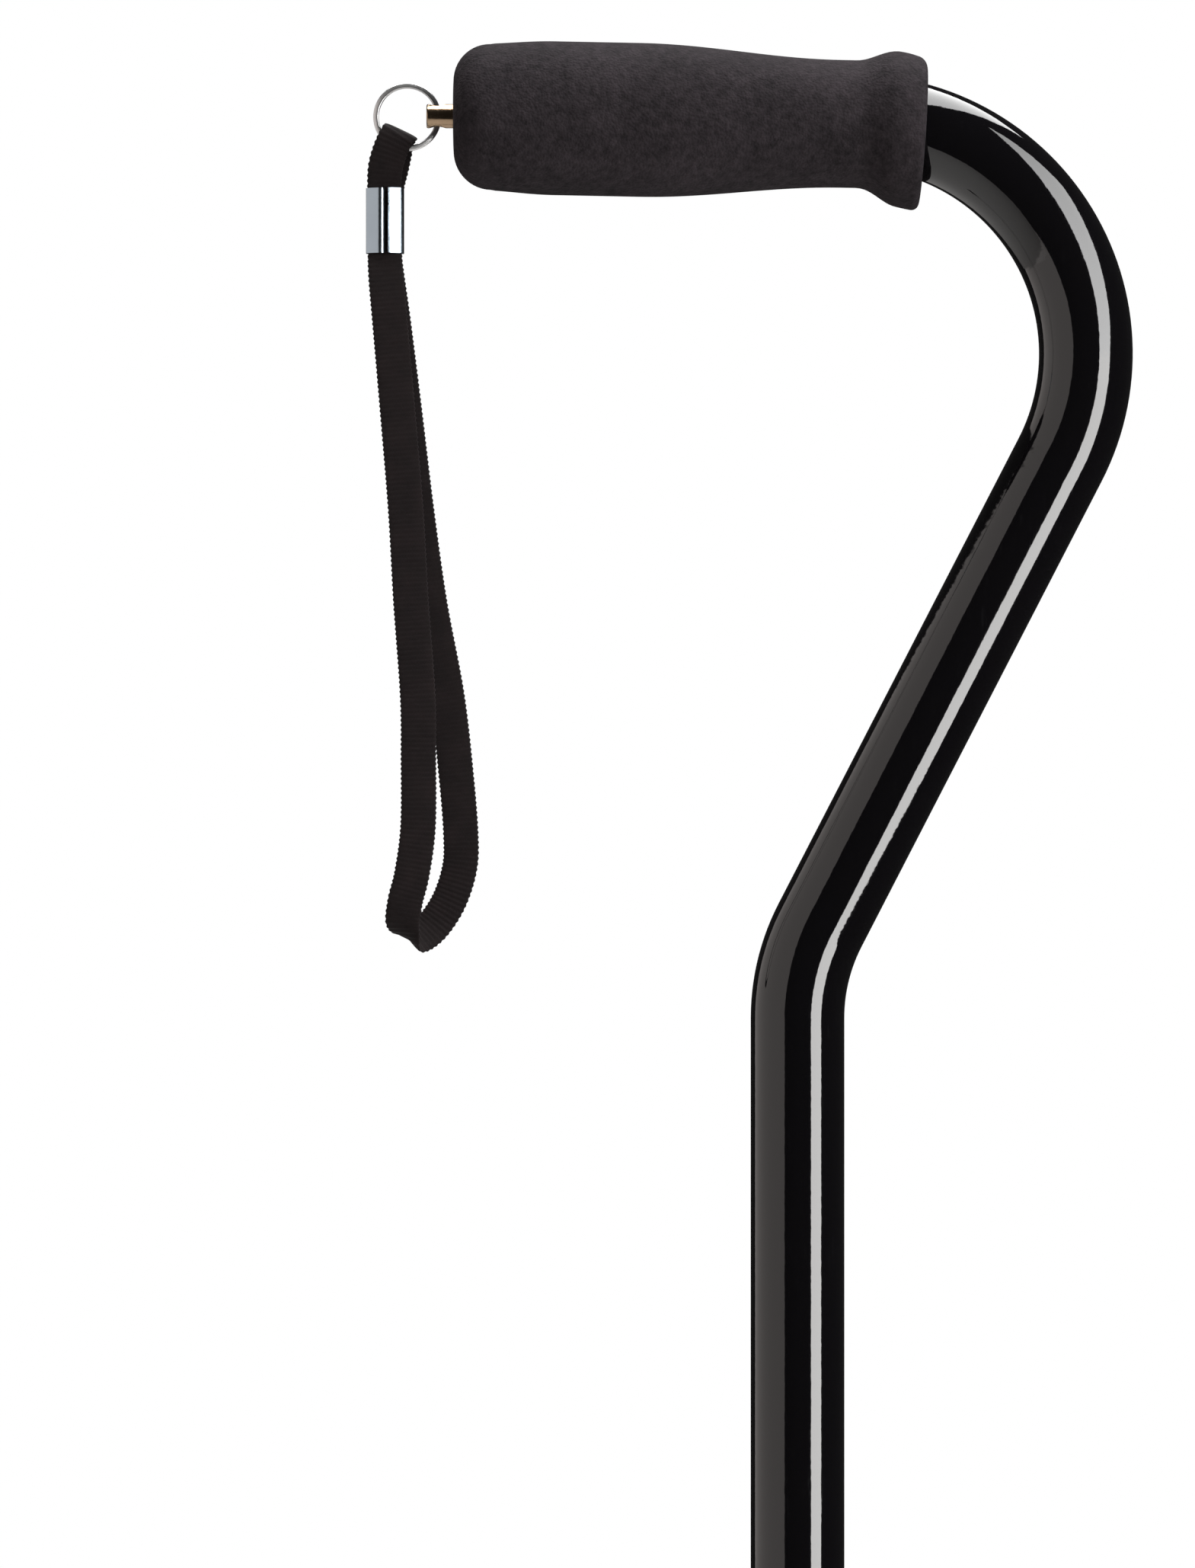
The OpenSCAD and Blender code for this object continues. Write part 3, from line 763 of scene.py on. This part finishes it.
nickel = plainMetal("nickelPlate", (0.66, 0.66, 0.66), (0.88, 0.88, 0.87), (0.26, 0.36), (1.0, 1.0, 0.1))
ringLow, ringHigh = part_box("split_ring")
ringCentre = (ringLow + ringHigh) / 2
ringPiece = runTree("splitRing", splitRingTree(nickel), {"centre": tuple(ringCentre)}, nickel)
ready(ringPiece, "ring", "nickel", "split_ring")
print("split ring made")

# ---- crimp: a strip folded round the webbing, its rounded front halves meeting at a seam ----
crimp = {"wall": 0.0006, "corner": 0.0012, "seam": 0.0008, "seamShift": 0.0004, "turnIn": 0.0007,
         "turnReach": 0.0008, "fall": 0.0017, "fallPower": 1.2, "proud": 0.0009, "step": 0.0002}


def makeCrimp(material):
    low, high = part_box("strap_crimp")
    middle = (low.x + high.x) / 2 + crimp["seamShift"]
    halfWide, halfSeam = (high.x - low.x) / 2, crimp["seam"] / 2
    corners = eased([(middle + halfSeam, low.y), (high.x, low.y), (high.x, high.y), (low.x, high.y),
                     (low.x, low.y), (middle - halfSeam, low.y)], crimp["corner"], 8)
    outside = densified(corners, crimp["step"])
    # both front halves fall away from the seam, and the left one turns in along it
    away = outside[:, 0] - middle
    back = crimp["fall"] * (np.abs(away) / halfWide) ** crimp["fallPower"] - crimp["proud"]
    back += np.where(away < 0, crimp["turnIn"] * np.exp(-((away + halfSeam) / crimp["turnReach"]) ** 2), 0)
    outside[:, 1] += np.where(outside[:, 1] < 0, back * outside[:, 1] / low.y, 0)
    return bentStrip("strapCrimp", outside, crimp["wall"], (low.z, high.z), (0, 1, 2), material)


plate = plainMetal("crimpPlate", (0.4, 0.47, 0.53), (0.54, 0.63, 0.71), (0.16, 0.24), (1.0, 1.0, 0.1), 0.0004)
crimpPiece = ready(makeCrimp(plate), "strap", "nickel", "strap_crimp")
print("crimp made")

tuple(strapRoute[0][:3])

# ---- rubber foot, as the zero surface of a field ----
foot = {"legAngles": (169, 296, 42, 105), "legReach": (0.071, 0.0515, 0.0515, 0.0515), "legHalf": 0.014,
        "skirt": 0.0055, "slopeEnd": 0.0177, "shoulder": 0.0245, "archAngle": 20, "toeRound": 0.003,
        "rimRadius": 0.0146, "rimRound": 0.00352, "waistRadius": 0.0171, "waistZ": 0.033, "flare": 0.011,
        "edgeRound": 0.0011, "ridgeRound": 0.0024, "sideCurve": 1.45, "step": 0.0006,
        "heightShare": 0.62, "shoulderRound": 0.002, "crossRound": 0.003, "behindRound": 0.004,
        "behindFall": 1.5, "socketRound": 0.0006, "grooveRound": 0.0004,
        "grooves": (0.014, 0.021), "grooveHalf": 0.001, "grooveDepth": 0.0012, "treadPitch": 0.006,
        "treadFrom": 0.0275, "treadInset": 0.0028, "treadMargin": 0.003, "treadHalf": 0.0008,
        "soleRound": 0.00088, "archPoints": 15, "toeBend": 150, "toePoints": 7}


def smoothMin(a, b, k):
    h = np.maximum(k - np.abs(a - b), 0) / k
    return np.minimum(a, b) - h * h * k / 4


def smoothMax(a, b, k):
    return -smoothMin(-a, -b, k)


def footOutline():
    order = sorted(range(4), key=lambda i: foot["legAngles"][i])
    corners = []
    for i in order:
        a = math.radians(foot["legAngles"][i])
        along, over = np.array([math.cos(a), math.sin(a)]), np.array([-math.sin(a), math.cos(a)])
        corners.append([foot["legReach"][i] * along - foot["legHalf"] * over,
                        foot["legReach"][i] * along + foot["legHalf"] * over])
    half = math.radians(foot["archAngle"])
    outline = []
    for k in range(4):
        start, end = corners[k][1], corners[(k + 1) % 4][0]
        chord = end - start
        radius = np.linalg.norm(chord) / 2 / math.sin(half)
        outward = np.array([chord[1], -chord[0]]) / np.linalg.norm(chord)
        centre = (start + end) / 2 + outward * radius * math.cos(half)
        outline.append(corners[k][0])
        outline.append(start)
        for s in np.linspace(-half, half, foot["archPoints"] + 2)[1:-1]:
            outline.append(centre - outward * radius * math.cos(s)
                           + chord / np.linalg.norm(chord) * radius * math.sin(s))
    # ease only the toe corners
    made, count = [], len(outline)
    for n, corner in enumerate(outline):
        before, after = outline[n - 1], outline[(n + 1) % count]
        back, on = before - corner, after - corner
        bend = math.acos(np.clip(back @ on / np.linalg.norm(back) / np.linalg.norm(on), -1, 1))
        if bend > math.radians(foot["toeBend"]):
            made.append(corner)
            continue
        cut = foot["toeRound"]
        start, end = corner + back / np.linalg.norm(back) * cut, corner + on / np.linalg.norm(on) * cut
        made += [(1 - t) ** 2 * start + 2 * t * (1 - t) * corner + t * t * end
                 for t in np.linspace(0, 1, foot["toePoints"])]
    return np.array(made)


outlinePoints = footOutline()


# signed distance to the outline, negative inside
def outlineDistance(x, y):
    shape = x.shape
    points = np.stack([x.ravel(), y.ravel()], 1)
    best, crossings = np.full(len(points), 1e9), np.zeros(len(points), bool)
    for a, b in zip(outlinePoints, np.roll(outlinePoints, -1, 0)):
        d, w = b - a, points - a
        t = np.clip((w @ d) / (d @ d), 0, 1)
        best = np.minimum(best, ((w - t[:, None] * d) ** 2).sum(1))
        over = (a[1] > points[:, 1]) != (b[1] > points[:, 1])
        if d[1]:
            crossings ^= over & (points[:, 0] < a[0] + d[0] * (points[:, 1] - a[1]) / d[1])
    return (np.sqrt(best) * np.where(crossings, -1, 1)).reshape(shape)


# how far a point is along a leg, and to its left
def legAxes(x, y, angle):
    a = math.radians(angle)
    return x * math.cos(a) + y * math.sin(a), -x * math.sin(a) + y * math.cos(a)


# height of the legs and their concave sides above a point of the floor
def legHeight(x, y, inside):
    depth = np.maximum(-inside, 0)
    top = np.full(x.shape, foot["skirt"])
    for angle, reach in zip(foot["legAngles"], foot["legReach"]):
        along, over = legAxes(x, y, angle)
        slope = (foot["shoulder"] - foot["skirt"]) / (reach - foot["slopeEnd"])
        ramp = np.maximum(reach - along, 0) * slope
        ramp = smoothMin(ramp, foot["shoulder"] - foot["skirt"] + 0 * ramp, foot["shoulderRound"])
        away = smoothMax(np.abs(over) - foot["legHalf"], 0 * over, foot["ridgeRound"])
        share = depth / np.maximum(depth + away, 1e-6)
        behind = smoothMax(-along, 0 * along, foot["behindRound"])
        side = ramp * share ** foot["sideCurve"] - behind * foot["behindFall"]
        top = smoothMax(top, foot["skirt"] + side, foot["crossRound"])
    return top


def treadGrooves(x, y, z, inside):
    r = np.hypot(x, y)
    groove = np.full(np.broadcast(x, z).shape, 1.0)
    for radius in foot["grooves"]:
        groove = np.minimum(groove, np.abs(r - radius) - foot["grooveHalf"])
    for angle in foot["legAngles"]:
        along, over = legAxes(x, y, angle)
        past = along - foot["treadFrom"]
        row = np.abs(past % foot["treadPitch"] - foot["treadPitch"] / 2) - foot["treadHalf"]
        row = np.maximum(row, np.maximum(-past, np.abs(over) - foot["legHalf"] + foot["treadInset"]))
        row = np.maximum(row, inside + foot["treadMargin"])
        groove = np.minimum(groove, row)
    return np.maximum(groove, z - foot["grooveDepth"])


def footField(x, y, z, socketRadius, socketFloor, collarTop):
    inside = outlineDistance(x, y)
    r = np.hypot(x, y)
    legs = smoothMax((z - legHeight(x, y, inside)) * foot["heightShare"], inside, foot["edgeRound"])
    draft = (foot["waistRadius"] - foot["rimRadius"]) / (collarTop - foot["waistZ"])
    cone = (r - (foot["waistRadius"] + (foot["waistZ"] - z) * draft)) * math.cos(math.atan(draft))
    collar = smoothMax(cone, z - collarTop, foot["rimRound"])
    body = smoothMin(legs, collar, foot["flare"])
    body = smoothMax(body, inside, foot["edgeRound"])
    body = smoothMax(body, -z, foot["soleRound"])
    socket = np.maximum(r - socketRadius, socketFloor - z)
    body = smoothMax(body, -socket, foot["socketRound"])
    return smoothMax(body, -treadGrooves(x, y, z, inside), foot["grooveRound"])


# quads on the zero surface of a field, each point moved onto the surface
def fieldSurface(field, low, high, step):
    axes = [np.arange(a, b + step, step) for a, b in zip(low, high)]
    x, y, z = np.meshgrid(*axes, indexing="ij")
    value = np.empty(x.shape)
    for k in range(x.shape[2]):
        value[:, :, k] = field(x[:, :, k], y[:, :, k], z[:, :, k])
    solid = value < 0
    count = np.zeros([n - 1 for n in solid.shape], int)
    for i in (0, 1):
        for j in (0, 1):
            for k in (0, 1):
                count += solid[i:solid.shape[0] - 1 + i, j:solid.shape[1] - 1 + j, k:solid.shape[2] - 1 + k]
    mixed = (count > 0) & (count < 8)
    number = np.full(mixed.shape, -1)
    number[mixed] = np.arange(mixed.sum())
    cells = np.argwhere(mixed)
    points = np.array(low) + (cells + 0.5) * step
    for _ in range(4):
        h = step * 0.1
        here = field(*points.T)
        slope = np.stack([(field(*(points + h * np.eye(3)[k]).T) - here) / h for k in range(3)], 1)
        move = -here[:, None] * slope / np.maximum((slope ** 2).sum(1), 0.05)[:, None]
        points = points + np.clip(move, -step * 0.5, step * 0.5)
    quads = []
    for axis in range(3):
        other = [k for k in range(3) if k != axis]
        a = np.take(solid, range(solid.shape[axis] - 1), axis)
        b = np.take(solid, range(1, solid.shape[axis]), axis)
        for flip, edges in ((False, a & ~b), (True, ~a & b)):
            at = np.argwhere(edges)
            keep = (at[:, other] > 0).all(1) & (at[:, other] < np.array(mixed.shape)[other]).all(1)
            at = at[keep]
            ring = []
            for da, db in ((0, 0), (1, 0), (1, 1), (0, 1)):
                cell = at.copy()
                cell[:, other[0]] -= da
                cell[:, other[1]] -= db
                ring.append(number[tuple(cell.T)])
            ring = np.stack(ring, 1)
            quads.append(ring[:, ::-1] if flip == (axis != 1) else ring)
    return points, np.concatenate(quads)


def makeFoot(material):
    low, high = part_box("quad_tip")
    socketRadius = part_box("lower_tube")[1].x
    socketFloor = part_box("tip_washer")[0].z
    margin = 0.0012

    def field(x, y, z):
        return footField(x, y, z, socketRadius, socketFloor, high.z)

    points, quads = fieldSurface(field, [low.x - margin, low.y - margin, -margin],
                                 [high.x + margin, high.y + margin, high.z + margin], foot["step"])
    return meshPiece("quadTip", points.tolist(), quads.tolist(), material, 60, weld=1e-6)


ready(makeFoot(footRubber()), "foot", "foot_rubber", "quad_tip")
print("foot made")

# ---- lock collar: a turned nut with ribs set round it ----
collar = {"bore": 0.009825, "threadBore": 0.01295, "floor": 0.004, "edge": 0.0009, "ribCount": 24,
          "ribRadius": 0.001, "ribInset": 0.004, "ribEnd": 0.06}


def collarTree(material):
    inputs = [("count", "NodeSocketInt", collar["ribCount"]), ("ringRadius", "NodeSocketFloat", 0.015),
              ("ribRadius", "NodeSocketFloat", collar["ribRadius"]), ("lowZ", "NodeSocketFloat", 0.0),
              ("highZ", "NodeSocketFloat", 0.1)]
    tree, inside, out = openTree("collarRibs", inputs)
    lowEnd = addNode(tree, "ShaderNodeCombineXYZ", {"Z": inside.outputs["lowZ"]}).outputs[0]
    highEnd = addNode(tree, "ShaderNodeCombineXYZ", {"Z": inside.outputs["highZ"]}).outputs[0]
    rod = addNode(tree, "GeometryNodeCurvePrimitiveLine", {"Start": lowEnd, "End": highEnd})
    rod = addNode(tree, "GeometryNodeResampleCurve", {"Curve": rod.outputs[0], "Count": 40})
    # the radius falls to nothing at both ends, as a half round end does
    share = addNode(tree, "GeometryNodeSplineParameter").outputs["Factor"]
    fromMiddle = maths(tree, "ABSOLUTE", maths(tree, "SUBTRACT", share, 0.5))
    pastBody = maths(tree, "SUBTRACT", fromMiddle, 0.5 - collar["ribEnd"])
    over = maths(tree, "MAXIMUM", maths(tree, "DIVIDE", pastBody, collar["ribEnd"]), 0.0)
    end = maths(tree, "SQRT", maths(tree, "SUBTRACT", 1.0001, maths(tree, "MULTIPLY", over, over)))
    disc = addNode(tree, "GeometryNodeCurvePrimitiveCircle",
                   {"Resolution": 20, "Radius": inside.outputs["ribRadius"]}, mode="RADIUS")
    rib = addNode(tree, "GeometryNodeCurveToMesh", {
        "Curve": rod.outputs[0], "Profile Curve": disc.outputs[0], "Scale": end, "Fill Caps": True})
    ring = addNode(tree, "GeometryNodeMeshCircle",
                   {"Vertices": inside.outputs["count"], "Radius": inside.outputs["ringRadius"]})
    placed = addNode(tree, "GeometryNodeInstanceOnPoints",
                     {"Points": ring.outputs[0], "Instance": rib.outputs[0]})
    return closeTree(tree, out, placed, material)


def makeCollar(material):
    low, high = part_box("lock_collar")
    outer = high.x - collar["ribRadius"]
    floor, thread, bore = low.z + collar["floor"], collar["threadBore"], collar["bore"]
    profile = eased([(bore, low.z), (outer, low.z), (outer, high.z), (thread, high.z), (thread, floor),
                     (bore, floor)], collar["edge"], 4, closed=True)
    nut = joinedPatches("lockCollar", [turned(profile, segments=120)], material)
    span = {"ringRadius": outer, "lowZ": low.z + collar["ribInset"], "highZ": high.z - collar["ribInset"]}
    ribs = runTree("collarRibs", collarTree(material), span, material, 60)
    ready(nut, "collar", "black_plastic", "lock_collar")
    ready(ribs, "collar", "black_plastic")


plastic = mouldedPlastic("mouldedPlastic", (0.012, 0.012, 0.0125), (0.022, 0.022, 0.023), (0.32, 0.46))
makeCollar(plastic)
print("lock collar made")

# ---- threaded sleeve above the collar ----
sleeve = {"radius": 0.0128, "shoulder": 0.003, "bore": 0.009645, "lip": 0.003, "edge": 0.0006}


def makeSleeve(material):
    low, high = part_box("thread_sleeve")
    shoulderZ = high.z - sleeve["shoulder"]
    seat = low.z + sleeve["lip"]
    profile = eased([(sleeve["bore"], low.z), (sleeve["radius"], low.z), (sleeve["radius"], shoulderZ),
                     (high.x, shoulderZ), (high.x, high.z), (shaft["radius"], high.z),
                     (shaft["radius"], seat), (sleeve["bore"], seat)], sleeve["edge"], 4, closed=True)
    return joinedPatches("threadSleeve", [turned(profile, segments=120)], material)


ready(makeSleeve(plastic), "shaft", "black_plastic", "thread_sleeve")

# ---- snap button ----
button = {"radius": 0.003, "flange": 0.0042, "flangeThick": 0.001, "dome": 0.0013}


def makeButton(material):
    low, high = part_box("snap_button")
    height = (low.z + high.z) / 2
    domed = [(button["radius"] * math.cos(a), low.y + button["dome"] * (1 - math.sin(a)))
             for a in np.linspace(0, math.pi / 2, 12)]
    profile = [(0, high.y), (button["flange"], high.y), (button["flange"], high.y - button["flangeThick"]),
               (button["radius"], high.y - button["flangeThick"]), *domed]
    return joinedPatches("snapButton", [turned(profile, (0, 0, height), "y", 64)], material)


zinc = plainMetal("zincSteel", (0.45, 0.45, 0.44), (0.68, 0.68, 0.66), (0.3, 0.45), (0.3, 0.3, 1.0))
steel = plainMetal("springSteel", (0.42, 0.42, 0.43), (0.66, 0.66, 0.67), (0.2, 0.34), (1.0, 1.0, 0.15))
ready(makeButton(zinc), "button", "zinc_steel", "snap_button")
print("sleeve and button made")

# ---- leaf spring: a bent strip with its front arm by the button and its back arm in the leg ----
leaf = {"thick": 0.0006, "frontStraight": 0.012, "foldLeft": -0.001, "foldMiddle": 0.001, "foldRight": 0.0035,
        "foldRise": 0.0025, "bend": 0.004, "step": 0.0012}


def makeSpring(material):
    low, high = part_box("button_spring")
    rise = low.z + leaf["foldRise"]
    line = eased([(low.y, high.z), (low.y, high.z - leaf["frontStraight"]), (leaf["foldLeft"], rise),
                  (leaf["foldMiddle"], low.z), (leaf["foldRight"], rise), (high.y, high.z)], leaf["bend"], 6)
    line = densified(line, leaf["step"])
    return bentStrip("leafSpring", line, leaf["thick"], (low.x, 0, high.x), (2, 0, 1), material)


springLow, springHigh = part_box("button_spring")
springStart = (0, leaf["foldLeft"], springHigh.z)
springEnd = (0, springLow.y + leaf["thick"], springHigh.z)
ready(makeSpring(steel), ("foot", "button", springStart, springEnd), "spring_steel", "button_spring")

# ---- pieces inside, which keep their CAD shape ----
nylon = mouldedPlastic("paleNylon", (0.62, 0.6, 0.54), (0.74, 0.72, 0.66), (0.4, 0.52))
insideFinish = {"tip_washer": zinc, "glide_plug": nylon, "clamp_bush": nylon, "handle_plug": plastic,
                "eye_nut": brass}
for node, material in insideFinish.items():
    nodes[node].data.materials.clear()
    nodes[node].data.materials.append(material)
print("inside pieces finished")

# ---- studio ----
# each panel: centre, point it faces, width, height, radiance, colour
panels = {
    "stripLight": ((1.13, -1.13, 0.36), (0, 0, 0.36), 0.76, 0.84, 8.8, (1.0, 0.99, 0.98)),
    "wallLight": ((-1.58, -0.22, 0.66), (0, 0, 0.66), 3.6, 2.0, 0.74, (1.0, 0.93, 0.9)),
}
sheet = {"foot": (1.13, -1.13, 0.78), "head": (1.18, -0.2, 2.05), "footAcross": (0.27, 0.27, 0),
         "headAcross": (0.25, 0.237, -0.183), "footRadiance": 8.4, "headRadiance": 4.2, "rows": 12}
floorCorners = [(-1.6, -2.0, 0), (0.85, -0.4, 0), (0.85, 1.6, 0), (-1.6, 1.6, 0)]
overhead = {"centre": (0.06, 0.27, 1.94), "turn": -22.2, "width": 1.3, "length": 1.6, "radiance": 6.2}


def addPanel(name, place, rotation, width, height, radiance, colour=(1, 1, 1)):
    data = bpy.data.lights.new(name, "AREA")
    data.shape = "RECTANGLE"
    data.size, data.size_y = width, height
    data.energy = radiance * math.pi * width * height
    data.color = colour
    panel = bpy.data.objects.new(name, data)
    panel.location = place
    panel.rotation_euler = rotation
    panel.visible_camera = False
    scene.collection.objects.link(panel)


def lightStudio():
    for name, (place, aim, width, height, radiance, colour) in panels.items():
        turn = (Vector(aim) - Vector(place)).to_track_quat("-Z", "Y").to_euler()
        addPanel(name, place, turn, width, height, radiance, colour)
    addPanel("topLight", overhead["centre"], (0, 0, math.radians(overhead["turn"])), overhead["width"],
             overhead["length"], overhead["radiance"])
    world = bpy.data.worlds.new("studioWorld")
    world.use_nodes = True
    tree = world.node_tree
    tree.nodes.clear()
    white = addNode(tree, "ShaderNodeBackground", {"Color": (1, 1, 1, 1), "Strength": 1.0})
    dim = addNode(tree, "ShaderNodeBackground", {"Color": (1.0, 0.97, 0.95, 1), "Strength": 0.02})
    seen = addNode(tree, "ShaderNodeLightPath").outputs["Is Camera Ray"]
    mix = addNode(tree, "ShaderNodeMixShader", {0: seen, 1: dim.outputs[0], 2: white.outputs[0]})
    out = tree.nodes.new("ShaderNodeOutputWorld")
    tree.links.new(mix.outputs[0], out.inputs[0])
    scene.world = world
    scene.view_settings.view_transform = "Standard"


# a bright sheet that carries on from the upright strip and leans back over the bend, dimmer with height
def hangSheet():
    share = np.linspace(0, 1, sheet["rows"] + 1)[:, None]
    middle = np.array(sheet["foot"]) * (1 - share) + np.array(sheet["head"]) * share
    across = np.array(sheet["footAcross"]) * (1 - share) + np.array(sheet["headAcross"]) * share
    material = bpy.data.materials.new("sheetLight")
    material.use_nodes = True
    tree = material.node_tree
    tree.nodes.clear()
    place = addNode(tree, "ShaderNodeTexCoord").outputs["Object"]
    height = addNode(tree, "ShaderNodeSeparateXYZ", {0: place}).outputs["Z"]
    strength = spreadOut(tree, height, sheet["foot"][2], sheet["head"][2], sheet["footRadiance"],
                         sheet["headRadiance"])
    glow = addNode(tree, "ShaderNodeEmission", {"Strength": strength})
    tree.links.new(glow.outputs[0], tree.nodes.new("ShaderNodeOutputMaterial").inputs["Surface"])
    piece = joinedPatches("sheetLight", [np.stack([middle - across, middle + across], 1)], material)
    piece.visible_camera = False


def layFloor():
    mesh = bpy.data.meshes.new("studioFloor")
    mesh.from_pydata(floorCorners, [], [(0, 1, 2, 3)])
    floor = linkPiece("studioFloor", mesh)
    material, tree, shader = newMaterial("studioFloor", {"Specular IOR Level": 0.2})
    grain = useGroup(tree, fineGrain, {"Grain Size": 0.002, "Depth": 0.02, "Smooth": 0.7, "Rough": 0.8})
    tree.links.new(grain.outputs["Roughness"], shader.inputs["Roughness"])
    tree.links.new(blendColours(tree, grain.outputs["Mask"], (0.56, 0.55, 0.54), (0.6, 0.59, 0.58)),
                   shader.inputs["Base Color"])
    mesh.materials.append(material)


lightStudio()
hangSheet()
layFloor()
print("studio lit")
